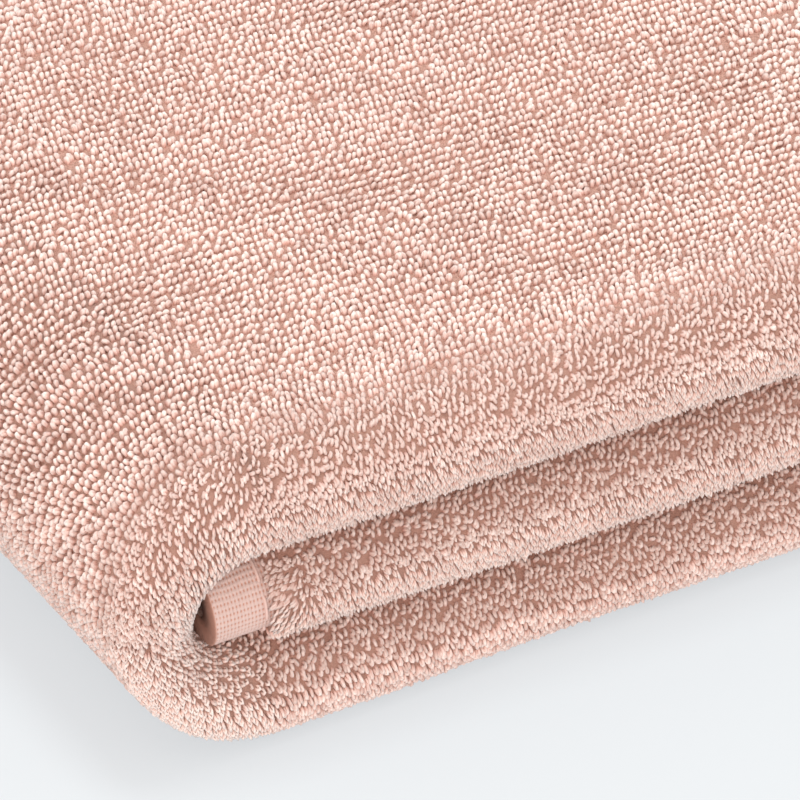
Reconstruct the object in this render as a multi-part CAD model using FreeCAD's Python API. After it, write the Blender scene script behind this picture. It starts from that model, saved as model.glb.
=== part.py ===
import FreeCAD, Part
import math
import os

# A bath towel folded for the shelf: one length of looped cotton cloth with a woven hem round it.
#
# The cloth is folded in half along its length, which leaves a rounded edge at -Y and both side hems
# at +Y. That double strip is then folded in three across its length. The bottom panel turns up at
# +X into the middle panel, whose hemmed end is tucked into the left turn at -X, and it turns up at
# -X into the top panel, which lies over everything and ends in the other hem.
#
# Millimetres. +X runs along the strip, +Y away from the rounded edge and +Z up. The origin is the
# middle of the underside of the folded towel.

# the cloth, spread out
towel_length = 1400.0  # hem to hem
towel_width = 700.0  # side to side
layer_thickness = 5.8  # one layer, loops on both faces
end_hem_width = 7.0  # woven border without loops at both ends
side_hem_width = 9.0  # the same along both sides
hem_thickness = 2.6  # a border turned over and sewn down

# sewing
stitch_width = 0.6
stitch_height = 0.25
end_stitch_inset = 2.0  # from where the loops start
side_stitch_inset = 2.5

# how the strip is folded
panel_gap = 0.6  # air between two panels of the stack
tuck_clearance = 0.35  # between the tucked end hem and the inside of the left turn
top_end_overhang = 4.0  # the top end reaches this far over the right turn

# one panel is the strip lying flat: two layers and the rounded edge that joins them
panel_height = 2 * layer_thickness
edge_radius = layer_thickness
bend_share = math.pi / 2 * (layer_thickness / 2)  # half of the rounded edge, along the cloth's middle
panel_depth = towel_width / 2 - bend_share + edge_radius
near_y = -panel_depth / 2
far_y = panel_depth / 2
edge_y = near_y + edge_radius
side_hem_y = far_y - side_hem_width

bottom_z = 0.0
middle_z = panel_height + panel_gap
top_z = 2 * middle_z
stack_height = top_z + panel_height

# an end hem goes round both layers at their mid height
hem_outer_radius = (layer_thickness + hem_thickness) / 2
hem_inner_radius = (layer_thickness - hem_thickness) / 2

# the turns at both ends of the strip
right_axis_z = (middle_z + panel_height) / 2
left_axis_z = stack_height / 2
right_reach = right_axis_z
left_reach = left_axis_z
right_arc = math.pi * (right_axis_z - panel_height / 2)
left_arc = math.pi * (left_axis_z - panel_height / 2)

# the tucked end reaches into the left turn until its hem nearly meets the inside of the turn
turn_hollow_radius = left_reach - panel_height
middle_end_tuck = math.sqrt((turn_hollow_radius - tuck_clearance) ** 2 - hem_outer_radius**2)

# three panels and two turns use up the whole length
straight_length = towel_length - right_arc - left_arc
turn_spacing = (straight_length - middle_end_tuck - top_end_overhang) / 3
overall_length = left_reach + turn_spacing + right_reach
left_turn_x = -overall_length / 2 + left_reach
right_turn_x = left_turn_x + turn_spacing
middle_end_x = left_turn_x - middle_end_tuck
top_end_x = right_turn_x + top_end_overhang

# the top panel unrolls to the left about two lines inside the left turn; the cloth between them
# then lies flat and is as long as it is round the turn
bend_line_radius = left_axis_z - left_arc / 4
bend_line_x = left_turn_x - left_reach + bend_line_radius
lower_bend_z = bend_line_radius
upper_bend_z = stack_height - bend_line_radius

X_AXIS = FreeCAD.Vector(1, 0, 0)
Y_AXIS = FreeCAD.Vector(0, 1, 0)


def section(points):
    """A flat face in the YZ plane. A point with a third value rounds the way to the next one, by
    passing through that (y, z) in between."""
    edges = []
    for here, after in zip(points, points[1:] + points[:1]):
        start = FreeCAD.Vector(0, here[0], here[1])
        end = FreeCAD.Vector(0, after[0], after[1])
        if len(here) == 3:
            through = FreeCAD.Vector(0, here[2][0], here[2][1])
            edges.append(Part.Arc(start, through, end).toShape())
        else:
            edges.append(Part.LineSegment(start, end).toShape())
    return Part.Face(Part.Wire(edges))


def rectangle(y0, y1, z0, z1):
    return section([(y0, z0), (y1, z0), (y1, z1), (y0, z1)])


def rounded_edge(base_z):
    """The half disc that joins the two layers of a panel."""
    low = (edge_y, base_z + panel_height, (near_y, base_z + edge_radius))
    return section([low, (edge_y, base_z)])


def wrapped_band(base_z, inner_radius, outer_radius):
    """A U that follows both layers and the rounded edge, open at the far side."""
    centre_z = base_z + edge_radius
    outer_turn = (edge_y - outer_radius, centre_z)
    inner_turn = (edge_y - inner_radius, centre_z)
    return section(
        [
            (far_y, centre_z + outer_radius),
            (edge_y, centre_z + outer_radius, outer_turn),
            (edge_y, centre_z - outer_radius),
            (far_y, centre_z - outer_radius),
            (far_y, centre_z - inner_radius),
            (edge_y, centre_z - inner_radius, inner_turn),
            (edge_y, centre_z + inner_radius),
            (far_y, centre_z + inner_radius),
        ]
    )


def layer_sections(base_z):
    """The lower and the upper layer of looped cloth, from the rounded edge to the side hem."""
    middle = base_z + layer_thickness
    lower = rectangle(edge_y, side_hem_y, base_z, middle)
    upper = rectangle(edge_y, side_hem_y, middle, base_z + panel_height)
    return lower, upper


def side_hem_sections(base_z):
    """The two side hems, each at mid height of its layer."""
    return [
        rectangle(side_hem_y, far_y, z - hem_thickness / 2, z + hem_thickness / 2)
        for z in layer_middles(base_z)
    ]


def side_stitch_sections(base_z):
    """One line of sewing on the outer face of each side hem."""
    low, high = layer_middles(base_z)
    y0 = side_hem_y + side_stitch_inset
    y1 = y0 + stitch_width
    under = low - hem_thickness / 2
    over = high + hem_thickness / 2
    return [
        rectangle(y0, y1, under - stitch_height, under),
        rectangle(y0, y1, over, over + stitch_height),
    ]


def layer_middles(base_z):
    return base_z + layer_thickness / 2, base_z + 1.5 * layer_thickness


def run(faces, x0, x1):
    """Carries sections straight along the strip from x0 to x1."""
    solids = []
    for face in faces:
        placed = face.copy()
        placed.translate(X_AXIS * x0)
        solids.append(placed.extrude(X_AXIS * (x1 - x0)))
    return solids


def turn(faces, x, axis_z, degrees):
    """Carries sections of the bottom panel round a turn of the strip; a positive angle goes round
    the left end and a negative one round the right end."""
    centre = FreeCAD.Vector(x, 0, axis_z)
    solids = []
    for face in faces:
        placed = face.copy()
        placed.translate(X_AXIS * x)
        solids.append(placed.revolve(centre, Y_AXIS, degrees))
    return solids


def panel(name, base_z, x0, x1):
    """One flat panel without its end hem."""
    lower, upper = layer_sections(base_z)
    return {
        f"{name}_lower_layer": run([lower], x0, x1),
        f"{name}_upper_layer": run([upper], x0, x1),
        f"{name}_rounded_edge": run([rounded_edge(base_z)], x0, x1),
        f"{name}_side_hems": run(side_hem_sections(base_z), x0, x1),
        f"{name}_side_stitching": run(side_stitch_sections(base_z), x0, x1),
    }


def strip_turn(name, x, axis_z, degrees):
    """The strip going round one end, from the bottom panel up."""
    outer, inner = layer_sections(bottom_z)
    return {
        f"{name}_outer_layer": turn([outer], x, axis_z, degrees),
        f"{name}_inner_layer": turn([inner], x, axis_z, degrees),
        f"{name}_rounded_edge": turn([rounded_edge(bottom_z)], x, axis_z, degrees),
        f"{name}_side_hems": turn(side_hem_sections(bottom_z), x, axis_z, degrees),
        f"{name}_side_stitching": turn(side_stitch_sections(bottom_z), x, axis_z, degrees),
    }


def end_hem(name, base_z, end_x, pile_x):
    """The woven border across one end of the towel and its line of sewing, from the end of the
    cloth to where the loops start."""
    hem = wrapped_band(base_z, hem_inner_radius, hem_outer_radius)
    sewing = wrapped_band(base_z, hem_outer_radius, hem_outer_radius + stitch_height)
    inward = math.copysign(1.0, end_x - pile_x)
    stitch_x = pile_x + inward * end_stitch_inset
    return {
        f"{name}_end_hem": run([hem], *sorted((end_x, pile_x))),
        f"{name}_end_stitching": run([sewing], *sorted((stitch_x, stitch_x + inward * stitch_width))),
    }


def folded_towel():
    middle_pile_x = middle_end_x + end_hem_width
    top_pile_x = top_end_x - end_hem_width
    nodes = {}
    nodes.update(panel("bottom", bottom_z, left_turn_x, right_turn_x))
    nodes.update(strip_turn("right_turn", right_turn_x, right_axis_z, -180))
    nodes.update(panel("middle", middle_z, middle_pile_x, right_turn_x))
    nodes.update(end_hem("middle", middle_z, middle_end_x, middle_pile_x))
    nodes.update(strip_turn("left_turn", left_turn_x, left_axis_z, 180))
    nodes.update(panel("top", top_z, left_turn_x, top_pile_x))
    nodes.update(end_hem("top", top_z, top_end_x, top_pile_x))
    return nodes


os.makedirs("parts", exist_ok=True)
for node, solids in folded_towel().items():
    shape = solids[0] if len(solids) == 1 else Part.Compound(solids)
    if not shape.isValid():
        raise ValueError(f"{node} is not a valid solid")
    shape.exportStep(f"parts/{node}.step")

for label, value in (
    ("overall length", overall_length),
    ("overall depth", panel_depth),
    ("overall height", stack_height),
    ("bend line x", bend_line_x),
    ("lower bend z", lower_bend_z),
    ("upper bend z", upper_bend_z),
):
    print(f"{label}: {value:.3f} mm")
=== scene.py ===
import math
from collections import namedtuple

import bpy
import numpy as np
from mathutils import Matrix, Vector


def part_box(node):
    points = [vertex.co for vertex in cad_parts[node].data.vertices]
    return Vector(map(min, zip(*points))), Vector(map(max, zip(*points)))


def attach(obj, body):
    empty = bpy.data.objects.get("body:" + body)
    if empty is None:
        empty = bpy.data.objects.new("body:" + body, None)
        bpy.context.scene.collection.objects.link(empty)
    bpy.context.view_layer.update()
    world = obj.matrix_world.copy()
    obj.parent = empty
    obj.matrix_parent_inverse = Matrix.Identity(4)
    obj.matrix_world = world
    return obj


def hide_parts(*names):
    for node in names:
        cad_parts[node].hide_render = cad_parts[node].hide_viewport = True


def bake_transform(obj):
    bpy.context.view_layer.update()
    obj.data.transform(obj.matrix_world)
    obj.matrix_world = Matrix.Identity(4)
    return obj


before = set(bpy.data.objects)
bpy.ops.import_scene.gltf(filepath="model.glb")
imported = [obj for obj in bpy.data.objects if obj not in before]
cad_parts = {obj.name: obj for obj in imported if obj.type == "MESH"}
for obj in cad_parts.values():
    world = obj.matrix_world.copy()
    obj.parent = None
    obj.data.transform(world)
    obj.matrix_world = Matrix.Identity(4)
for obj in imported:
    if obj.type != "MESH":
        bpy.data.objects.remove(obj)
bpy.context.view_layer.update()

# A terry bath towel, folded in half and then in three. Everything is worked out in the cloth's own
# coordinates, in millimetres: u runs along the towel from its tucked end, v across it from the
# rounded edge, and a third way stands up from the middle of the cloth. fold() carries them to the
# folded stack, and settle() lets the stack slump a little.

MM = 0.001


def corners(node):
    low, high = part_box(node)
    return np.array(low) / MM, np.array(high) / MM


# ---------------------------------------------------------------- sizes from the frame
layer_low, layer_high = corners("bottom_lower_layer")
edge_low, edge_high = corners("bottom_rounded_edge")
hems_low, hems_high = corners("bottom_side_hems")
top_hem_low, top_hem_high = corners("top_end_hem")

LAYER = layer_high[2] - layer_low[2]
EDGE_Y = edge_high[1]
NEAR_Y = edge_low[1]
FAR_Y = hems_high[1]
SIDE_HEM = hems_high[1] - hems_low[1]
HEM_THICK = 2 * ((LAYER - hems_low[2]) - LAYER / 2)
LEFT_X = layer_low[0]
RIGHT_X = layer_high[0]
LEFT_R = corners("left_turn_outer_layer")[1][2] / 2
RIGHT_R = corners("right_turn_outer_layer")[1][2] / 2
HEIGHT = 2 * LEFT_R
LEFT_END = LEFT_X - LEFT_R
TUCKED_X = corners("middle_end_hem")[0][0]
TOP_END_X = top_hem_high[0]
END_HEM = top_hem_high[0] - top_hem_low[0]

# the towel's length, as the five stretches of the folded strip
MIDDLE_LENGTH = RIGHT_X - TUCKED_X
RIGHT_ARC = math.pi * (RIGHT_R - LAYER)
BOTTOM_LENGTH = RIGHT_X - LEFT_X
LEFT_ARC = math.pi * (LEFT_R - LAYER)
TOP_LENGTH = TOP_END_X - LEFT_X
STARTS = np.cumsum([0, MIDDLE_LENGTH, RIGHT_ARC, BOTTOM_LENGTH, LEFT_ARC, TOP_LENGTH])
U_RIGHT, U_BOTTOM, U_LEFT, U_TOP, U_END = STARTS[1:]
U_LEFT_HALF = U_LEFT + LEFT_ARC / 2

HALF_BEND = math.pi / 4 * LAYER
HALF_WIDTH = FAR_Y - EDGE_Y + HALF_BEND
PILE_REACH = HALF_WIDTH - SIDE_HEM

# the corner that is seen close up reaches this far, and its border is scattered over a width
NEAR_X = LEFT_END + 130.0
NEAR_REACH = NEAR_Y + 116.0
DITHER = 34.0

# ---------------------------------------------------------------- how the cloth has settled
LEAN_OUT = 2.6  # how far a rounded edge moves out low down, and in high up
LEAN_REACH = 12.0  # how far from the edge that is felt
EDGE_WAVER = 0.5  # how far its line wavers
SWELL_BROAD = 1.3  # how far the top rises and sinks
SWELL_FINE = 0.7
TUCK_SLIP = 2.6  # how far the tucked end has been pushed on into the left turn
TUCK_REACH = 26.0
TURN_SQUEEZE = 0.15  # how much thinner the strip is at the middle of the left turn
GROUND = 1.95  # from the middle of the cloth to the dense foot of the loops


def smoothstep(a):
    a = np.clip(a, 0.0, 1.0)
    return a * a * (3 - 2 * a)


def waves(x, y, size, seed):
    """Smooth noise from -1 to 1 over a plane, with lumps of about this size."""
    cells = 64  # after so many lumps it repeats
    grid = np.random.default_rng(seed).uniform(-1, 1, (cells, cells))
    gx, gy = np.asarray(x) / size + 400, np.asarray(y) / size + 400  # keeps them positive
    ix, iy = np.floor(gx).astype(int), np.floor(gy).astype(int)
    fx, fy = smoothstep(gx - ix), smoothstep(gy - iy)
    a, b = grid[ix % cells, iy % cells], grid[(ix + 1) % cells, iy % cells]
    c, d = grid[ix % cells, (iy + 1) % cells], grid[(ix + 1) % cells, (iy + 1) % cells]
    return (a * (1 - fx) + b * fx) * (1 - fy) + (c * (1 - fx) + d * fx) * fy


def settle(points, middle_z):
    """Folded cloth slumps: each rounded edge is fullest low down, and the top swells a little."""
    x, y, z = points[..., 0], points[..., 1], points[..., 2]
    rise = np.clip((z - middle_z) / LAYER, -1, 1)
    near = smoothstep(1 - (y - EDGE_Y) / LEAN_REACH)
    swell = SWELL_BROAD * waves(x, y, 70, seed=11) + SWELL_FINE * waves(x, y, 32, seed=12)
    waver = EDGE_WAVER * waves(x, z * 4, 30, seed=13)
    moved = points.copy()
    moved[..., 1] = y + LEAN_OUT * rise * near + waver * near
    moved[..., 2] = z + z / HEIGHT * swell
    return moved


# ---------------------------------------------------------------- from flat cloth to folded cloth
def across(v):
    """Where the cloth lies across the strip: y, depth into the strip and both directions."""
    turn = np.clip(v / (LAYER / 2), -math.pi / 2, math.pi / 2)
    past = np.maximum(np.abs(v) - HALF_BEND, 0)
    y = EDGE_Y - LAYER / 2 * np.cos(turn) + past
    depth = LAYER - LAYER / 2 * np.sin(turn)
    along = np.stack([np.sin(turn), -np.cos(turn)], -1)
    out = np.stack([-np.cos(turn), -np.sin(turn)], -1)
    return y, depth, along, out


def strip(u, depth):
    """Where a depth of the folded strip lies along the stack, with the direction of travel."""
    part = np.clip(np.searchsorted(STARTS, u, side="right") - 1, 0, 4)
    s = u - STARTS[part]
    zero, one = np.zeros_like(s), np.ones_like(s)
    angle = np.choose(part, [zero, s / (RIGHT_R - LAYER), zero, s / (LEFT_R - LAYER), zero])
    sin, cos = np.sin(angle), np.cos(angle)
    right = RIGHT_R - depth
    left = LEFT_R - depth * (1 - TURN_SQUEEZE * sin * sin)
    tucked = TUCKED_X + s - TUCK_SLIP * (1 - smoothstep(s / TUCK_REACH))
    # each list holds the middle panel, right turn, bottom panel, left turn and top panel
    x = np.choose(part, [
        tucked, RIGHT_X + right * sin, RIGHT_X - s, LEFT_X - left * sin, LEFT_X + s,
    ])
    z = np.choose(part, [
        2 * RIGHT_R - depth, RIGHT_R + right * cos, depth, LEFT_R - left * cos, HEIGHT - depth,
    ])
    ux = np.choose(part, [one, cos, -one, -cos, one])
    uz = np.choose(part, [zero, -sin, zero, sin, zero])
    return x, z, ux, uz


def fold(u, v):
    """Points on the middle of the cloth, the three directions there, and the strip's mid height."""
    u, v = np.broadcast_arrays(np.asarray(u, float), np.asarray(v, float))
    y, depth, along, out = across(v)
    x, z, ux, uz = strip(u, depth)
    zero = np.zeros_like(x)
    place = np.stack([x, y, z], -1)
    to_u = np.stack([ux, zero, uz], -1)
    # depth into the strip runs along -z where u runs along +x
    into = np.stack([uz, zero, -ux], -1)
    to_v = along[..., :1] * np.array([0, 1, 0]) + along[..., 1:] * into
    normal = out[..., :1] * np.array([0, 1, 0]) + out[..., 1:] * into
    middle_z = strip(u, np.full_like(u, LAYER))[1]
    return place, to_u, to_v, normal, middle_z


# ---------------------------------------------------------------- meshes
def make_object(name, points, groups, material):
    """A smooth mesh; groups is a list of arrays of faces, each with its own number of corners."""
    loops = np.concatenate([g.ravel() for g in groups]).astype(np.int32)
    totals = np.concatenate([np.full(len(g), g.shape[1]) for g in groups]).astype(np.int32)
    starts = np.concatenate([[0], np.cumsum(totals)[:-1]]).astype(np.int32)
    mesh = bpy.data.meshes.new(name)
    mesh.vertices.add(len(points))
    mesh.vertices.foreach_set("co", (points * MM).astype(np.float32).ravel())
    mesh.loops.add(len(loops))
    mesh.loops.foreach_set("vertex_index", loops)
    mesh.polygons.add(len(totals))
    mesh.polygons.foreach_set("loop_start", starts)
    mesh.polygons.foreach_set("loop_total", totals)
    mesh.update(calc_edges=True)
    mesh.validate()
    mesh.polygons.foreach_set("use_smooth", np.ones(len(totals), bool))
    mesh.materials.append(material)
    obj = bpy.data.objects.new(name, mesh)
    bpy.context.scene.collection.objects.link(obj)
    return obj


def keep_yarn(obj, shape, tone=1.0, rise=1.0, ply=1.0):
    """Keeps three values with each point for the materials to read."""
    yarn = np.ones((*shape, 4), np.float32)
    yarn[..., 0], yarn[..., 1], yarn[..., 2] = tone, rise, ply
    kept = obj.data.color_attributes.new("yarn", "FLOAT_COLOR", "POINT")
    kept.data.foreach_set("color", yarn.ravel())


def grid_faces(rows, cols, first=0, flip=False):
    i = np.arange(rows - 1)[:, None] * cols + np.arange(cols - 1)[None, :] + first
    quads = np.stack([i, i + 1, i + cols + 1, i + cols], -1).reshape(-1, 4)
    return quads[:, ::-1] if flip else quads


def slab(name, us, vs, above, below, material):
    """A closed piece of cloth over a grid of u and v, between two heights from its middle."""
    uu, vv = np.meshgrid(us, vs, indexing="ij")
    place, _, _, normal, middle_z = fold(uu, vv)
    sheets = [
        settle(place + np.broadcast_to(h, uu.shape)[..., None] * normal, middle_z)
        for h in (above, below)
    ]
    rows, cols = uu.shape
    count = rows * cols
    index = np.arange(count).reshape(rows, cols)
    rim = np.concatenate([index[0, :-1], index[:-1, -1], index[-1, :0:-1], index[:0:-1, 0]])
    after = np.roll(rim, -1)
    walls = np.stack([rim, after, after + count, rim + count], -1)[:, ::-1]
    faces = np.concatenate([
        grid_faces(rows, cols), grid_faces(rows, cols, first=count, flip=True), walls,
    ])
    points = np.concatenate([s.reshape(-1, 3) for s in sheets])
    return make_object(name, points, [faces], material)


def tube_faces(count, rings, sides):
    """The faces of many closed tubes, one after another: their walls and their lids."""
    i, j = np.meshgrid(np.arange(rings - 1), np.arange(sides), indexing="ij")
    here, after = i * sides, (j + 1) % sides
    tube = np.stack([here + j, here + after, here + sides + after, here + sides + j], -1)
    tube = tube.reshape(-1, 4)
    lids = np.stack([np.arange(sides)[::-1], (rings - 1) * sides + np.arange(sides)])
    first = (np.arange(count) * rings * sides)[:, None, None]
    return [(tube[None] + first).reshape(-1, 4), (lids[None] + first).reshape(-1, sides)]


def circle(sides):
    return np.arange(sides) / sides * 2 * math.pi


def around(angle, first, second):
    """Directions round a circle, in the plane of two others."""
    cos, sin = np.cos(angle)[:, None], np.sin(angle)[:, None]
    return cos * first[..., None, :] + sin * second[..., None, :]


def unit(a):
    return a / np.maximum(np.linalg.norm(a, axis=-1, keepdims=True), 1e-9)


def dot(a, b):
    return (a * b).sum(-1, keepdims=True)


def steps(start, end, size):
    return np.linspace(start, end, max(2, int(round((end - start) / size)) + 1))


def cloth_across(reach):
    """Steps across the cloth, finer round the edge, as far as this on either side."""
    bend = np.linspace(-HALF_BEND, HALF_BEND, 13)
    flat = steps(HALF_BEND, reach, 5.0)[1:]
    return np.concatenate([-flat[::-1], bend, flat])


# ---------------------------------------------------------------- camera
VIEW_AZIMUTH = -30
VIEW_ELEVATION = 35
VIEW_WIDTH = 88.0
FIELD_OF_VIEW = math.radians(6)
AIM = Vector((LEFT_END + 37.4, NEAR_Y + 6.5, HEIGHT))  # what the middle of the picture shows


def direction(azimuth, elevation):
    """Degrees round from the front and up from the floor."""
    a, e = math.radians(azimuth), math.radians(elevation)
    return Vector((math.sin(a) * math.cos(e), -math.cos(a) * math.cos(e), math.sin(e)))


def stand_back(obj, place, back):
    """Puts a camera or a lamp there, looking back along a direction."""
    obj.location = place
    obj.rotation_euler = back.to_track_quat("Z", "Y").to_euler()
    bpy.context.scene.collection.objects.link(obj)


def add_camera():
    cam = bpy.data.cameras.new("camera")
    cam.angle = FIELD_OF_VIEW
    cam.clip_end = 100
    obj = bpy.data.objects.new("camera", cam)
    back = direction(VIEW_AZIMUTH, VIEW_ELEVATION)
    distance = VIEW_WIDTH / 2 / math.tan(FIELD_OF_VIEW / 2)
    stand_back(obj, (AIM + back * distance) * MM, back)
    bpy.context.scene.camera = obj


# ---------------------------------------------------------------- floor, world and lights
FLOOR_HALF = 12000.0
FLOOR_COLOUR = (0.23, 0.23, 0.23)
FLOOR_GLOW = (0.530, 0.570, 0.597)
WORLD_COLOUR = (1.0, 0.975, 0.955)
WORLD_STRENGTH = 1.05
LAMP_DISTANCE = 2.2
LAMP_POWER = 20


def link(tree, output, socket):
    tree.links.new(output, socket)


def plain_material(name, colour, roughness):
    material = bpy.data.materials.new(name)
    material.use_nodes = True
    shader = material.node_tree.nodes["Principled BSDF"]
    shader.inputs["Base Color"].default_value = (*colour, 1)
    shader.inputs["Roughness"].default_value = roughness
    return material, material.node_tree, shader


def add_floor():
    material, _, shader = plain_material("floor", FLOOR_COLOUR, 0.9)
    shader.inputs["Emission Color"].default_value = (*FLOOR_GLOW, 1)
    shader.inputs["Emission Strength"].default_value = 1
    shader.inputs["Specular IOR Level"].default_value = 0
    points = FLOOR_HALF * np.array([[-1, -1, 0], [1, -1, 0], [1, 1, 0], [-1, 1, 0]])
    floor = make_object("floor", points, [np.array([[0, 1, 2, 3]])], material)


def add_world():
    """Soft light all round. The backdrop that the camera sees looks like the far floor instead, so
    no horizon shows."""
    world = bpy.data.worlds.new("studio")
    world.use_nodes = True
    tree = world.node_tree
    lighting = tree.nodes["Background"]
    lighting.inputs["Color"].default_value = (*WORLD_COLOUR, 1)
    lighting.inputs["Strength"].default_value = WORLD_STRENGTH
    far_floor = [
        glow + colour * WORLD_STRENGTH * world_colour
        for glow, colour, world_colour in zip(FLOOR_GLOW, FLOOR_COLOUR, WORLD_COLOUR)
    ]
    backdrop = tree.nodes.new("ShaderNodeBackground")
    backdrop.inputs["Color"].default_value = (*far_floor, 1)
    ray = tree.nodes.new("ShaderNodeLightPath")
    either = tree.nodes.new("ShaderNodeMixShader")
    link(tree, ray.outputs["Is Camera Ray"], either.inputs[0])
    link(tree, lighting.outputs[0], either.inputs[1])
    link(tree, backdrop.outputs[0], either.inputs[2])
    link(tree, either.outputs[0], tree.nodes["World Output"].inputs["Surface"])
    bpy.context.scene.world = world


def add_light(name, azimuth, elevation, size, colour):
    lamp = bpy.data.lights.new(name, "AREA")
    lamp.shape = "DISK"
    lamp.size = size
    lamp.energy = LAMP_POWER
    lamp.color = colour
    back = direction(azimuth, elevation)
    stand_back(bpy.data.objects.new(name, lamp), back * LAMP_DISTANCE, back)


add_camera()
add_floor()
add_world()
add_light("key", azimuth=150, elevation=88, size=0.8, colour=(0.88, 0.97, 1.0))
add_light("fill", azimuth=-35, elevation=24, size=1.2, colour=(1.0, 0.72, 0.60))
bpy.context.scene.view_settings.view_transform = "Standard"

# ---------------------------------------------------------------- materials
WHITE = (1, 1, 1)
# painted shade: the deep and root pinks stand in for the shade in the gaps and at the foot of the
# loops
DEEP_SHADE_PINK = (0.37, 0.205, 0.16)
ROOT_SHADE_PINK = (0.58, 0.35, 0.285)
SHADE_PINK = (0.765, 0.56, 0.505)
TIP_PINK = (0.82, 0.74, 0.705)
HEM_PINK = (0.66, 0.515, 0.48)


def cotton(name, roughness=0.85):
    """A cotton material with its shader, ready for a colour."""
    material, tree, shader = plain_material(name, TIP_PINK, roughness)
    shader.inputs["Sheen Weight"].default_value = 0.08
    shader.inputs["Sheen Roughness"].default_value = 0.5
    shader.inputs["Sheen Tint"].default_value = (1.0, 0.76, 0.66, 1)
    shader.inputs["Specular IOR Level"].default_value = 0.25
    return material, tree, shader


def yarn_values(tree):
    """What keep_yarn() kept: tone in red, rise in green and ply in blue."""
    yarn = tree.nodes.new("ShaderNodeAttribute")
    yarn.attribute_name = "yarn"
    parts = tree.nodes.new("ShaderNodeSeparateColor")
    link(tree, yarn.outputs["Color"], parts.inputs["Color"])
    return parts.outputs["Red"], parts.outputs["Green"], parts.outputs["Blue"]


def noise(tree, scale, detail=2):
    node = tree.nodes.new("ShaderNodeTexNoise")
    node.inputs["Scale"].default_value = scale
    node.inputs["Detail"].default_value = detail
    return node.outputs["Fac"]


def ramp(tree, value, stops):
    """The colour between stops that a value comes to."""
    node = tree.nodes.new("ShaderNodeValToRGB")
    while len(node.color_ramp.elements) < len(stops):
        node.color_ramp.elements.new(0.5)
    for element, (position, colour) in zip(node.color_ramp.elements, stops):
        element.position = position
        element.color = (*colour, 1)
    link(tree, value, node.inputs["Fac"])
    return node.outputs["Color"]


def multiplied(tree, first, second):
    mix = tree.nodes.new("ShaderNodeMix")
    mix.data_type = "RGBA"
    mix.blend_type = "MULTIPLY"
    mix.inputs["Factor"].default_value = 1
    link(tree, first, mix.inputs["A"])
    link(tree, second, mix.inputs["B"])
    return mix.outputs["Result"]


def add_fibre(tree, shader, scale, height):
    """Fine fibre that also breaks up the shine."""
    fibre = noise(tree, scale, detail=3)
    bump = tree.nodes.new("ShaderNodeBump")
    bump.inputs["Strength"].default_value = 0.6
    bump.inputs["Distance"].default_value = height * MM
    link(tree, fibre, bump.inputs["Height"])
    link(tree, bump.outputs["Normal"], shader.inputs["Normal"])
    roughness = ramp(tree, fibre, [(0.2, (0.7, 0.7, 0.7)), (0.8, (0.95, 0.95, 0.95))])
    link(tree, roughness, shader.inputs["Roughness"])


def pile_material():
    """Painted shade: deeper pink at the roots, where the loops shade one another, paler over the
    tips, and every loop a little different.
    """
    material, tree, shader = cotton("looped_cotton")
    tone, rise, ply = yarn_values(tree)
    body = ramp(tree, rise, [(0.0, ROOT_SHADE_PINK), (0.55, SHADE_PINK), (1.0, TIP_PINK)])
    shade = ramp(tree, tone, [(0.0, (0.80, 0.74, 0.72)), (0.5, WHITE), (1.0, (1.08, 1.12, 1.12))])
    # painted shade in the grooves between the two plies
    ply_groove_shade = ramp(tree, ply, [(0.0, (0.80, 0.66, 0.63)), (0.7, WHITE)])
    colour = multiplied(tree, multiplied(tree, body, shade), ply_groove_shade)
    link(tree, colour, shader.inputs["Base Color"])
    return material


def ground_material():
    """Painted shade: mottled and dark, standing in for the shadowed gaps between the loops, and
    paler away from the near corner, which makes up for the fewer loops there.
    """
    material, tree, shader = cotton("woven_ground")
    mottled = ramp(tree, noise(tree, 2200), [(0.38, DEEP_SHADE_PINK), (0.58, ROOT_SHADE_PINK)])
    away = yarn_values(tree)[0]
    paler = ramp(tree, away, [(0.0, WHITE), (1.0, (1.10, 1.20, 1.26))])
    link(tree, multiplied(tree, mottled, paler), shader.inputs["Base Color"])
    add_fibre(tree, shader, 2200, 0.35)
    return material


def hem_material():
    """A fine plain weave: two sets of yarns, with painted shade, a deeper pink, in the gaps between
    them.
    """
    material, tree, shader = cotton("woven_hem", 0.8)
    share = yarn_values(tree)[1]
    colour = ramp(tree, share, [(0.2, DEEP_SHADE_PINK), (0.6, ROOT_SHADE_PINK), (0.9, HEM_PINK)])
    link(tree, colour, shader.inputs["Base Color"])
    add_fibre(tree, shader, 4000, 0.04)
    return material


def thread_material():
    material, tree, shader = cotton("sewing_thread", 0.6)
    colour = ramp(tree, noise(tree, 1500), [(0.3, SHADE_PINK), (0.7, HEM_PINK)])
    link(tree, colour, shader.inputs["Base Color"])
    return material


PILE = pile_material()
GROUND_CLOTH = ground_material()
HEM = hem_material()
THREAD = thread_material()

# ---------------------------------------------------------------- the woven ground and the hems
WEAVE_PITCH = 0.42
WEAVE_SWING = 0.07  # how far a yarn goes up and down
WEAVE_ROUND = 0.15  # how far it stands out at its middle
WEAVE_HALF = 0.35  # half of its width, as a share of the pitch
WEAVE_WANDER = 0.08  # how far the yarns stray
FINE_WEAVE = 0.085  # steps of the grid where the yarns are real relief
PLAIN_WEAVE = 1.0  # and where they aren't
PLAIN_SHARE = 0.75  # how much of the plain ones is yarn, which sets the painted shade of their gaps
HEM_LAP = 0.5  # how far a hem goes in under the first loops
NEAR_HEM = HALF_BEND + 9  # how far from the middle of the fold they are relief
HOLLOW_SHADE_DEPTH = 0.35  # painted shade: the turned end of a hem darker, for the shadowed hollow beside it
HOLLOW_SHADE_SHARE = 0.15
PANEL_STEP = 6.0  # steps of the grids along the cloth
TURN_STEP = 1.5
HEM_STEP = 3.5


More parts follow.
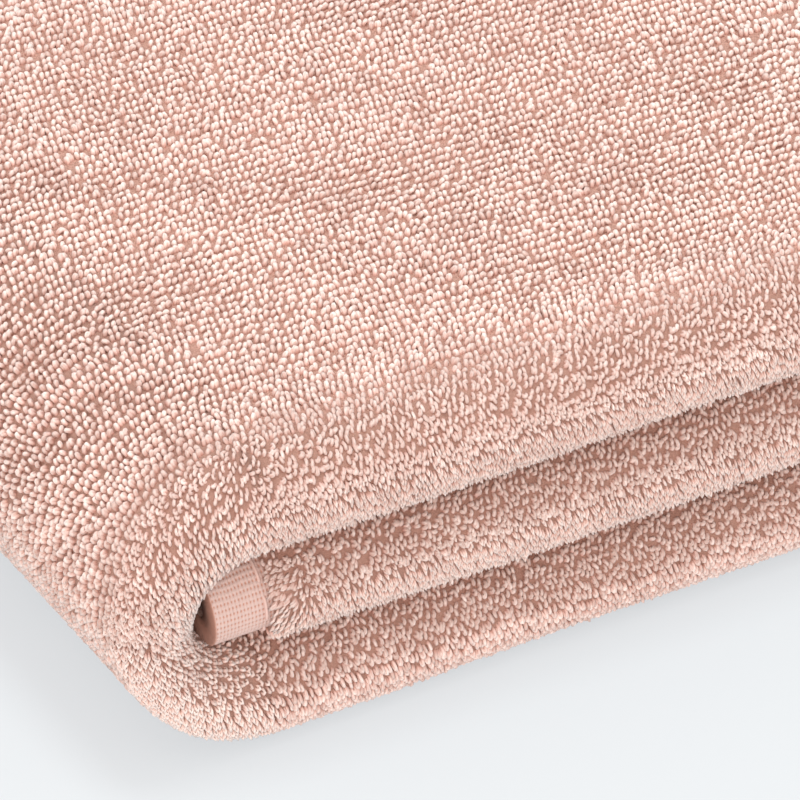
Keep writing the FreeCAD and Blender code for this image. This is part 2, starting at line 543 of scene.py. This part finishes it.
def weave(u, v):
    """The height of a plain weave over its own middle, and how much of it is yarn, which sets the
    painted shade of the gaps.
    """
    a, b = u / WEAVE_PITCH, v / WEAVE_PITCH
    over = np.where((np.floor(a) + np.floor(b)) % 2 == 0, 1.0, -1.0)
    aside_a, aside_b = a - np.floor(a) - 0.5, b - np.floor(b) - 0.5
    round_a = np.sqrt(np.clip(1 - (aside_a / WEAVE_HALF) ** 2, 0, 1))
    round_b = np.sqrt(np.clip(1 - (aside_b / WEAVE_HALF) ** 2, 0, 1))
    height_u = over * WEAVE_SWING * np.cos(math.pi * aside_a) + WEAVE_ROUND * round_b
    height_v = -over * WEAVE_SWING * np.cos(math.pi * aside_b) + WEAVE_ROUND * round_a
    height = np.maximum(height_u, height_v) - WEAVE_ROUND
    return height, np.clip(1 + height / (WEAVE_ROUND + WEAVE_SWING), 0, 1)


def woven(name, us, vs, relief=False):
    """A stretch of hem. Where it is seen close up its yarns are real relief."""
    uu, vv = np.meshgrid(us, vs, indexing="ij")
    outside, share = HEM_THICK / 2, PLAIN_SHARE
    if relief:
        wander_u = WEAVE_WANDER * waves(uu, vv, 2.5, seed=31)
        wander_v = WEAVE_WANDER * waves(uu, vv, 2.5, seed=32)
        height, share = weave(uu + wander_u, vv + wander_v)
        outside = outside + height
        # painted shade: the hem's turned end darker, standing in for the shadowed hollow next to it
        share = share * (HOLLOW_SHADE_SHARE + (1 - HOLLOW_SHADE_SHARE) * smoothstep(uu / HOLLOW_SHADE_DEPTH))
    obj = slab(name, us, vs, outside, -HEM_THICK / 2, HEM)
    keep_yarn(obj, (2, *uu.shape), rise=share)
    return obj


SPANS = {
    "bottom": np.concatenate([
        steps(END_HEM, U_RIGHT, PANEL_STEP),
        steps(U_RIGHT, U_BOTTOM, TURN_STEP)[1:],
        steps(U_BOTTOM, U_LEFT, PANEL_STEP)[1:],
    ]),
    "turn_lower": steps(U_LEFT, U_LEFT_HALF, TURN_STEP),
    "turn_upper": steps(U_LEFT_HALF, U_TOP, TURN_STEP),
    "top": steps(U_TOP, U_END - END_HEM, PANEL_STEP),
}
side_hem = steps(PILE_REACH - HEM_LAP, HALF_WIDTH, 1.0)
grounds, hems = {}, {}
for part, span in SPANS.items():
    breadth = cloth_across(PILE_REACH)
    grounds[part] = slab(f"ground_{part}", span, breadth, GROUND, -GROUND, GROUND_CLOTH)
    place = fold(*np.meshgrid(span, breadth, indexing="ij"))[0]
    inside = np.minimum(NEAR_X - place[..., 0], NEAR_REACH - place[..., 1])
    keep_yarn(grounds[part], (2, *inside.shape), tone=1 - smoothstep(inside / DITHER + 0.5))
    side_span = span
    if part == "bottom":
        side_span = np.concatenate([steps(0, END_HEM, HEM_STEP)[:-1], span])
    if part == "top":
        side_span = np.concatenate([span, steps(U_END - END_HEM, U_END, HEM_STEP)[1:]])
    hems[part] = [
        woven(f"side_hem_{part}_outer", side_span, side_hem),
        woven(f"side_hem_{part}_inner", side_span, -side_hem[::-1]),
    ]

far_hem = steps(NEAR_HEM, PILE_REACH, 2.0)
near_hem = steps(-NEAR_HEM, NEAR_HEM, FINE_WEAVE)
tucked_fine = steps(0, END_HEM + HEM_LAP, FINE_WEAVE)
tucked_plain = steps(0, END_HEM + HEM_LAP, PLAIN_WEAVE)
top_plain = steps(U_END - END_HEM - HEM_LAP, U_END, PLAIN_WEAVE)
hems["bottom"] += [
    woven("end_hem_tucked_near", tucked_fine, near_hem, relief=True),
    woven("end_hem_tucked_outer", tucked_plain, far_hem),
    woven("end_hem_tucked_inner", tucked_plain, -far_hem[::-1]),
]
hems["top"] += [woven("end_hem_top", top_plain, cloth_across(PILE_REACH))]

# ---------------------------------------------------------------- the sewing
STITCH = 2.4
STITCH_STEP = 3.0
THREAD_RADIUS = 0.19
THREAD_RINGS = 7
THREAD_SIDES = 6
SIDE_LINE = PILE_REACH + 2.8
END_LINE = 0.9  # from where the loops start


def sewing(name, us, vs, along_v=False):
    """A line of stitches, each a short thread that dips into the hem at both ends."""
    t = np.linspace(-1, 1, THREAD_RINGS)
    reach = STITCH / 2 * t
    u = us[:, None] + (0 if along_v else reach)
    v = vs[:, None] + (reach if along_v else 0)
    place, to_u, to_v, normal, middle_z = fold(u, v)
    lift = HEM_THICK / 2 + THREAD_RADIUS * (0.7 - 2.2 * t ** 6)
    spine = place + lift[:, None] * normal
    ring = around(circle(THREAD_SIDES), to_u if along_v else to_v, normal)
    points = settle(spine[:, :, None] + THREAD_RADIUS * ring, middle_z[..., None])
    faces = tube_faces(len(us), THREAD_RINGS, THREAD_SIDES)
    return make_object(name, points.reshape(-1, 3), faces, THREAD)


def stitch_places(start, end):
    return np.arange(start + STITCH_STEP / 2, end, STITCH_STEP)


SIDE_ENDS = {
    "bottom": (0, U_LEFT),
    "turn_lower": (U_LEFT, U_LEFT_HALF),
    "turn_upper": (U_LEFT_HALF, U_TOP),
    "top": (U_TOP, U_END),
}
stitches = {}
for part, ends in SIDE_ENDS.items():
    places = stitch_places(*ends)
    both = np.concatenate([places, places])
    lines = np.repeat([SIDE_LINE, -SIDE_LINE], len(places))
    stitches[part] = [sewing(f"side_stitches_{part}", both, lines)]
end_places = stitch_places(-PILE_REACH, PILE_REACH)
for part, name, u in (
    ("bottom", "tucked", END_HEM - END_LINE),
    ("top", "top", U_END - END_HEM + END_LINE),
):
    line = np.full(len(end_places), u)
    stitches[part].append(sewing(f"end_stitches_{name}", line, end_places, along_v=True))

# ---------------------------------------------------------------- where the loops stand
# How far apart the loops and their rows stand on the flat and round the edge, how thick their yarn
# is, how wide and high they are, and how unevenly they stand.
Lattice = namedtuple("Lattice", "pitch row edge_pitch edge_row yarn gap height jitter")

CLOSE = Lattice(pitch=0.80, row=1.34, edge_pitch=0.75, edge_row=0.74,
                yarn=0.60, gap=0.50, height=0.92, jitter=0.07)
COMBED = Lattice(pitch=0.74, row=1.18, edge_pitch=0.72, edge_row=0.74,
                 yarn=0.52, gap=0.45, height=0.98, jitter=0.07)
FRINGE = Lattice(pitch=0.56, row=1.05, edge_pitch=0.56, edge_row=0.68,
                 yarn=0.42, gap=0.32, height=1.05, jitter=0.07)
WIDE = Lattice(pitch=1.12, row=1.86, edge_pitch=1.02, edge_row=1.10,
               yarn=0.96, gap=0.62, height=0.98, jitter=0.12)

TIP_RADIUS = 0.93 * LAYER  # from the middle of a rounded edge to the tips of its loops
ROOT = 1.60  # from the middle of the cloth to the roots of the loops
FLOOR_GAP = 0.02  # under the lowest loops


def rows(lattice):
    """The place of each row of loops across the cloth; round the edge the tips set them."""
    bend_rows = round(math.pi * TIP_RADIUS / lattice.edge_row)
    bend = (np.arange(bend_rows) + 0.5) / bend_rows * 2 * HALF_BEND - HALF_BEND
    flat = np.arange(HALF_BEND + lattice.row / 2, PILE_REACH, lattice.row)
    return np.concatenate([-flat[::-1], bend, flat])


def loop_places(rng, lattice):
    """u and v of every loop; every other row is half a pitch on."""
    us, vs = [], []
    for number, v in enumerate(rows(lattice)):
        turn = np.clip(v / (LAYER / 2), -math.pi / 2, math.pi / 2)
        pitch = lattice.edge_pitch if abs(v) < HALF_BEND else lattice.pitch
        tip_depth = LAYER - TIP_RADIUS * math.sin(turn)
        # round a turn the tips lie further apart, or closer, than the middle of the cloth
        spans = (
            (END_HEM, U_RIGHT, 1.0),
            (U_RIGHT, U_BOTTOM, max(RIGHT_R - tip_depth, 0.5) / (RIGHT_R - LAYER)),
            (U_BOTTOM, U_LEFT, 1.0),
            (U_LEFT, U_TOP, (LEFT_R - tip_depth) / (LEFT_R - LAYER)),
            (U_TOP, U_END - END_HEM, 1.0),
        )
        for start, end, stretch in spans:
            count = max(1, round((end - start) * stretch / pitch))
            share = (np.arange(count) + 0.25 + 0.5 * (number % 2)) / count
            us.append(start + share * (end - start))
            vs.append(np.full(count, v))
    u, v = np.concatenate(us), np.concatenate(vs)
    u = u + rng.normal(0, lattice.jitter, len(u))
    v = v + rng.normal(0, 1.5 * lattice.jitter, len(v))
    return u, v


# how the loops lie; a lean of 1 is 45 degrees
PATCH_LEAN = 0.20
SMALL_PATCH_LEAN = 0.12
OWN_LEAN = 0.19
STREAK_LEAN = 0.24
COMBED_LEAN = 0.40
SHOULDER_LEAN = 0.08
EDGE_LEANS_LESS = 0.35
HANG = 0.85
SHOULDER_HANG = 0.25
HEM_HANG = 0.6
HEM_SPRAWL = 1.2
TURNED = 0.60  # how far the arch of a loop stands askew to the rows, in radians
TURNED_OWN = 0.45
TURNED_PATCH = 0.35

# how the loops differ in size, as shares of the lattice's
HEIGHT_OWN = 0.08
HEIGHT_PATCH = 0.07
HANGING_LOWER = 0.10
SHOULDER_LOWER = 0.20
PRESSED_LOWER = 0.30
HEM_HIGHER = 0.50
LONG_SHARE = 0.010
LONG = 1.2
YARN_OWN = 0.05
EDGE_THINNER = 0.22
HEM_THINNER = 0.20
EDGE_WIDER = 0.10
HEM_NARROWER = 0.50

# how they differ in tone, around 0.5: at random, and with painted light and shade on the shoulders,
# the rounded edges, the left turn and along the streaks
TONE_OWN = 0.21
TONE_PATCH = 0.12
TONE_CLOUD = 0.10
STREAK_SHADING = 0.15
SHOULDER_SHADE = 0.45
TURN_SHADE = 0.15
EDGE_SHADE = 0.12
TURN_EDGE_LIGHT = 0.34
FRINGE_TONE = (0.8, 0.1)  # a share of the usual range, and where it starts
WIDE_PALER = 0.30


def streaks(u, v):
    """Long narrow waves that run aslant over the cloth."""
    along, over = 0.87 * u - 0.5 * v, 0.5 * u + 0.87 * v
    return waves(0.4 * along, 1.5 * over, 9, seed=29)


def stand_loops(rng, u, v, lattice):
    """Where each loop is rooted, which way it leans, how its arch lies, its size and its tone."""
    place, to_u, to_v, normal, middle_z = fold(u, v)
    count = len(u)
    up, z = normal[:, 2], place[:, 2]
    # how much each loop is in a certain place, from 0 to 1: round an edge, in the left turn, where
    # the flat top goes over into an edge, close to the floor, and next to the tucked hem
    on_edge = smoothstep((HALF_BEND + 1 - np.abs(v)) / 2)
    in_turn = smoothstep((u - U_LEFT + 4) / 8) * smoothstep((U_TOP + 2 - u) / 8)
    shoulder = smoothstep((HALF_BEND + 5 - np.abs(v)) / 5) * smoothstep((up + 0.15) / 0.3)
    pressed = smoothstep((5.5 - z) / 4)
    beside_hem = smoothstep((END_HEM + 4.5 - u) / 3) * (u < U_RIGHT)
    beside_hem = beside_hem * smoothstep((0.9 - np.abs(up)) / 0.4)

    patch_u = PATCH_LEAN * waves(u, v, 11, seed=21) + SMALL_PATCH_LEAN * waves(u, v, 4.5, seed=22)
    lean_u = patch_u + rng.normal(0, OWN_LEAN, count)
    patch_v = PATCH_LEAN * waves(u, v, 13, seed=23) + SMALL_PATCH_LEAN * waves(u, v, 5.0, seed=24)
    lean_v = patch_v + rng.normal(0, OWN_LEAN, count)
    # on the flat they lie over together in long streaks
    streak = (1 - shoulder) * (1 - on_edge) * streaks(u, v)
    lean_v = lean_v + STREAK_LEAN * streak
    # round the left turn they are combed along the cloth
    held = 1 - EDGE_LEANS_LESS * on_edge
    lean_u = held * lean_u - COMBED_LEAN * in_turn * on_edge
    lean_u = lean_u + SHOULDER_LEAN * shoulder * rng.normal(0, 1, count)
    lean_v = held * lean_v
    stands = unit(normal + lean_u[:, None] * to_u + lean_v[:, None] * to_v)

    # below the fullest line of a rounded edge they hang, unless they are pressed underneath
    hang = HANG * smoothstep((0.25 - up) / 0.7) * smoothstep((up + 1) / 0.3)
    hang = np.maximum(hang, SHOULDER_HANG * shoulder)
    hang = hang * (0.7 + 0.3 * smoothstep((z - 6) / 4))
    # the first ones beside the tucked hem have nothing to hold them up
    hang = np.maximum(hang, HEM_HANG * beside_hem * smoothstep((0.6 - up) / 0.4))
    down, sprawl = np.array([0, 0, -1.0]), HEM_SPRAWL * beside_hem[:, None]
    stands = unit(stands * (1 - hang[:, None]) + down * hang[:, None] - sprawl * to_u)
    turned = TURNED + rng.normal(0, TURNED_OWN, count) + TURNED_PATCH * waves(u, v, 9, seed=25)
    arch = np.cos(turned)[:, None] * to_v + np.sin(turned)[:, None] * to_u
    arch = unit(arch - dot(arch, stands) * stands)

    uneven = 1 + rng.normal(0, HEIGHT_OWN, count) + HEIGHT_PATCH * waves(u, v, 7, seed=26)
    height = lattice.height * uneven * (1 - HANGING_LOWER * hang - SHOULDER_LOWER * shoulder)
    height = height * (1 + HEM_HIGHER * beside_hem) * (1 - PRESSED_LOWER * pressed)
    height = np.where(rng.random(count) < LONG_SHARE, height * LONG, height)
    yarn = lattice.yarn * (1 - EDGE_THINNER * on_edge - HEM_THINNER * beside_hem)
    yarn = yarn * (1 + rng.normal(0, YARN_OWN, count))
    gap = lattice.gap * (1 + EDGE_WIDER * on_edge - HEM_NARROWER * beside_hem)

    tone = 0.5 + TONE_OWN * rng.normal(0, 1, count)
    tone = tone + TONE_PATCH * waves(u, v, 6, seed=27) + TONE_CLOUD * waves(u, v, 50, seed=28)
    # painted light and shade: lighter and darker along the streaks where the loops lie over, and
    # darker on the shoulder to damp its highlights
    tone = tone + STREAK_SHADING * streak - SHOULDER_SHADE * shoulder
    # painted shade: the left turn darker away from its edge, and the rounded edges darker; painted
    # light: the edge round the left turn lighter
    tone = tone - TURN_SHADE * in_turn * (1 - on_edge)
    tone = tone + (TURN_EDGE_LIGHT * in_turn - EDGE_SHADE) * on_edge
    return {
        "u": u, "v": v, "place": place + ROOT * normal, "normal": normal, "middle_z": middle_z,
        "stands": stands, "arch": arch, "height": height, "yarn": yarn, "gap": gap,
        "tone": np.clip(tone, 0, 1),
    }


# ---------------------------------------------------------------- the loops as meshes
MOST_TRIANGLES = 195000  # in one piece


class Tube:
    """A loop as a bent tube with closed ends, of this many rings and sides."""

    def __init__(self, rings, sides):
        self.rings, self.sides = rings, sides
        self.triangles = (rings - 1) * sides * 2 + 2 * (sides - 2)

    def mesh(self, name, loops):
        rings, sides, count = self.rings, self.sides, len(loops["height"])
        s = np.linspace(0, 1, rings)
        rise = np.sin(math.pi * s) ** 0.7
        rise[0] = rise[-1] = 0
        cos = -np.cos(math.pi * s)
        aside = np.sign(cos) * np.abs(cos) ** 0.8 * (0.7 + 0.3 * rise) / 2
        tall = loops["height"][:, None, None]
        r = rise[None, :, None]
        # it comes straight out of the cloth and bends over to where it leans
        spine = (
            loops["place"][:, None]
            + 2 * r * (1 - r) * 0.5 * tall * loops["normal"][:, None]
            + r * r * tall * loops["stands"][:, None]
            + aside[None, :, None] * loops["gap"][:, None, None] * loops["arch"][:, None]
        )
        along = unit(np.gradient(spine, axis=1))
        flat = unit(np.cross(loops["arch"], loops["stands"]))[:, None]
        flat = unit(flat - dot(flat, along) * along)
        other = np.cross(along, flat)
        angle = circle(sides)
        thick = loops["yarn"][:, None] / 2 * (1.0 - 0.10 * rise)
        ring = thick[..., None, None] * around(angle, flat, other)
        points = (spine[:, :, None] + ring).reshape(count, -1, 3)
        points = settle(points, loops["middle_z"][:, None])
        points[..., 2] = np.maximum(points[..., 2], FLOOR_GAP)
        obj = make_object(name, points.reshape(-1, 3), tube_faces(count, rings, sides), PILE)

        # painted shade at the roots, less of it on the coarsest loops so that their tone matches
        # the finer ones
        height = rise[None, :, None] if rings > 3 else 0.5 + 0.5 * rise[None, :, None]
        ply = 1.0
        if sides > 4:
            # the two plies of the yarn wind round each other, with painted shade in the groove
            # between them
            start = loops["u"] * 37 % (2 * math.pi)
            ply = 0.5 + 0.5 * np.cos(2 * angle + 9 * s[:, None] + start[:, None, None])
        keep_yarn(obj, (count, rings, sides), loops["tone"][:, None, None], height, ply)
        keep_map(obj, count, self.cells(angle))
        return obj

    def cells(self, angle):
        """Where the walls and the lids lie in the loop's own square of the map."""
        i, j = np.meshgrid(np.arange(self.rings - 1), np.arange(self.sides), indexing="ij")
        side, ring = np.stack([j, j + 1, j + 1, j], -1), np.stack([i, i, i + 1, i + 1], -1)
        across_cell = 0.1 + 0.8 * side / self.sides
        up_cell = 0.15 + 0.75 * ring / (self.rings - 1)
        walls = np.stack([across_cell, up_cell], -1)
        lid = np.stack([np.cos(angle), np.sin(angle)], -1) * 0.045 + [0.3, 0.06]
        return walls.reshape(-1, 2), np.concatenate([lid, lid + [0.4, 0]])


class Bump:
    """A loop that is only seen from afar, as a low three-sided bump."""

    triangles = 3
    foot_radius = 0.62

    def mesh(self, name, loops):
        count = len(loops["height"])
        other = np.cross(loops["normal"], loops["arch"])
        foot = loops["place"][:, None] + self.foot_radius * around(circle(3), loops["arch"], other)
        tip = loops["place"] + loops["height"][:, None] * loops["stands"]
        points = np.concatenate([foot, tip[:, None]], 1)
        points = settle(points, loops["middle_z"][:, None])
        walls = np.array([[0, 1, 3], [1, 2, 3], [2, 0, 3]])
        faces = (walls[None] + 4 * np.arange(count)[:, None, None]).reshape(-1, 3)
        obj = make_object(name, points.reshape(-1, 3), [faces], PILE)
        # painted shade at the feet of the bumps
        keep_yarn(obj, (count, 4), loops["tone"][:, None], [0.45, 0.45, 0.45, 1.0])
        keep_map(obj, count, [np.array([
            [left + aside, high]
            for left in (0, 0.33, 0.66)
            for aside, high in ((0.05, 0.1), (0.28, 0.1), (0.16, 0.9))
        ])])
        return obj


def keep_map(obj, count, cells):
    """Gives each loop a square of the map of its own."""
    in_row = math.ceil(math.sqrt(count))
    index = np.arange(count)
    corner = np.stack([index % in_row, index // in_row], -1)[:, None]
    uv = np.concatenate([((corner + cell[None]) / in_row).reshape(-1, 2) for cell in cells])
    kept = obj.data.uv_layers.new(name="OFBake")
    kept.data.foreach_set("uv", uv.astype(np.float32).ravel())


FINE = Tube(rings=7, sides=6)
PLAIN = Tube(rings=5, sides=4)
COARSE = Tube(rings=3, sides=3)
BUMP = Bump()


def pile(name, loops, chosen, shape):
    """The chosen loops as a few meshes, each of a size that is easy to handle."""
    index = np.flatnonzero(chosen)
    if not len(index):
        return []
    pieces = math.ceil(len(index) * shape.triangles / MOST_TRIANGLES)
    made = []
    for number, part in enumerate(np.array_split(index, pieces)):
        taken = {key: value[part] for key, value in loops.items()}
        made.append(shape.mesh(f"{name}_{number + 1:02d}", taken))
    return made


# ---------------------------------------------------------------- which loops go where
INSIDE_LESS = 45.0  # how much smaller the near corner is on faces that only an opened towel shows
WIDE_OVERLAP = 9.0  # how far the wide loops reach into it
EDGE_BAND = HALF_BEND + 5.0  # what shows of a covered face: so much beside the rounded edge
FAR_BAND = FAR_Y - SIDE_HEM - 8.5  # and the last rows before the side hems
MISSING = 0.012  # the share of loops that aren't there


def nearness(loops, seed, less=0.0):
    """True for loops in the near corner; its border is scattered, so that it doesn't show."""
    x, y = loops["place"][:, 0], loops["place"][:, 1]
    inside = np.minimum(NEAR_X - x, NEAR_REACH - y) - less
    return inside > DITHER * np.random.default_rng(seed).random(len(x)) - DITHER / 2


def stretches(u):
    """Which stretch of the folded strip each loop is on."""
    return {
        "middle": u < U_RIGHT,
        "right_turn": (u >= U_RIGHT) & (u < U_BOTTOM),
        "bottom": (u >= U_BOTTOM) & (u < U_LEFT),
        "turn_lower": (u >= U_LEFT) & (u < U_LEFT_HALF),
        "turn_upper": (u >= U_LEFT_HALF) & (u < U_TOP),
        "top": u >= U_TOP,
    }


def near_kinds(loops):
    """Which loops of the near corner each close lattice makes: the fringe hangs over the gaps and
    beside the tucked hem, and the combed ones go round the left turn. Loops that lie out of sight
    above a gap are left to the fringe."""
    u, v, up = loops["u"], loops["v"], loops["normal"][:, 2]
    edge = np.abs(v) < HALF_BEND
    high = loops["place"][:, 2] > 2 * LAYER
    nose = (np.abs(v) < HALF_BEND + 1) & high & (up > -0.97)
    nose = nose & ((u > U_LEFT_HALF) | (u < U_RIGHT))
    fringed, covered = nose & (up < 0.22), nose & (up < -0.05)
    beside = edge & (u < END_HEM + 5) & (up < 0.7) & (up > -0.97)
    wrap = edge & (u > U_LEFT - 2) & (u < U_TOP + 1) & ~covered
    return {"close": ~covered & ~wrap, "combed": wrap, "fringe": fringed | beside}


def shown_parts(loops, lattice):
    """Which loops show on each stretch while the towel is folded."""
    v = loops["v"]
    band = (np.abs(v) < HALF_BEND) | (loops["place"][:, 1] > FAR_BAND)
    if lattice is not WIDE:
        band = band | (np.abs(v) < EDGE_BAND)
    outer = band | (v > 0)
    return {
        "middle": band, "bottom": band, "right_turn": outer,
        "turn_lower": outer, "turn_upper": outer, "top": outer,
    }


GROUP_OF = {"turn_lower": "turn_lower", "turn_upper": "turn_upper", "top": "top"}
piles = {"root": [], "turn_lower": [], "turn_upper": [], "top": []}
for lattice_name, lattice, seed, shape in (
    ("close", CLOSE, 7, FINE),
    ("combed", COMBED, 6, FINE),
    ("fringe", FRINGE, 8, PLAIN),
    ("wide", WIDE, 9, COARSE),
):
    rng = np.random.default_rng(seed)
    u, v = loop_places(rng, lattice)
    loops = stand_loops(rng, u, v, lattice)
    there = rng.random(len(u)) > MISSING
    near = nearness(loops, seed=5, less=WIDE_OVERLAP if lattice is WIDE else 0)
    near_inside = nearness(loops, seed=6, less=INSIDE_LESS)
    wanted = there & (~near if lattice is WIDE else near & near_kinds(loops)[lattice_name])
    if lattice is FRINGE:
        loops["tone"] = loops["tone"] * FRINGE_TONE[0] + FRINGE_TONE[1]
    if lattice is WIDE:
        loops["tone"] = np.clip(loops["tone"] + WIDE_PALER, 0, 1)
    on, shown = stretches(u), shown_parts(loops, lattice)
    for stretch, here in on.items():
        simpler = PLAIN if shape is FINE and stretch == "turn_lower" else shape
        piles[GROUP_OF.get(stretch, "root")] += pile(
            f"pile_{stretch}_{lattice_name}", loops, wanted & here & shown[stretch], simpler)
    # the faces that only show when the top panel is open
    for stretch, side in (
        ("middle", v > 0), ("top", v < 0), ("turn_lower", v < 0), ("turn_upper", v < 0),
    ):
        hidden = there & on[stretch] & side & ~shown[stretch]
        where = piles[GROUP_OF.get(stretch, "root")]
        if lattice is CLOSE:
            where += pile(f"pile_{stretch}_inside_near", loops, hidden & near_inside, COARSE)
        if lattice is WIDE:
            where += pile(f"pile_{stretch}_inside", loops, hidden & ~near_inside, BUMP)

# ---------------------------------------------------------------- bodies and CAD nodes
BODIES = {
    "bottom": lambda piece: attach(piece, "root"),
    "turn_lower": lambda piece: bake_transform(piece),
    "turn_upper": lambda piece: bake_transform(piece),
    "top": lambda piece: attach(piece, "top_panel"),
}
for part, group in zip(SPANS, piles.values()):
    slots = (
        ("looped_cotton", [grounds[part], *group]),
        ("woven_hem", hems[part]),
        ("sewing_thread", stitches[part]),
    )
    for slot, pieces in slots:
        for piece in pieces:
            BODIES[part](piece)

PANELS_OF = {
    "bottom": ("bottom", "right_turn", "middle"),
    "turn_lower": ("left_turn",),
    "turn_upper": ("left_turn",),
    "top": ("top",),
}
LAYERS = ("lower_layer", "upper_layer", "outer_layer", "inner_layer", "rounded_edge")
for part, panels in PANELS_OF.items():
    for panel in panels:
        cloth = [f"{panel}_{layer}" for layer in LAYERS if f"{panel}_{layer}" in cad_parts]
        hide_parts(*cloth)
        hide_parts(f"{panel}_side_hems")
        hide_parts(f"{panel}_side_stitching")
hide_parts("middle_end_hem")
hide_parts("top_end_hem")
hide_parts("middle_end_stitching")
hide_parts("top_end_stitching")
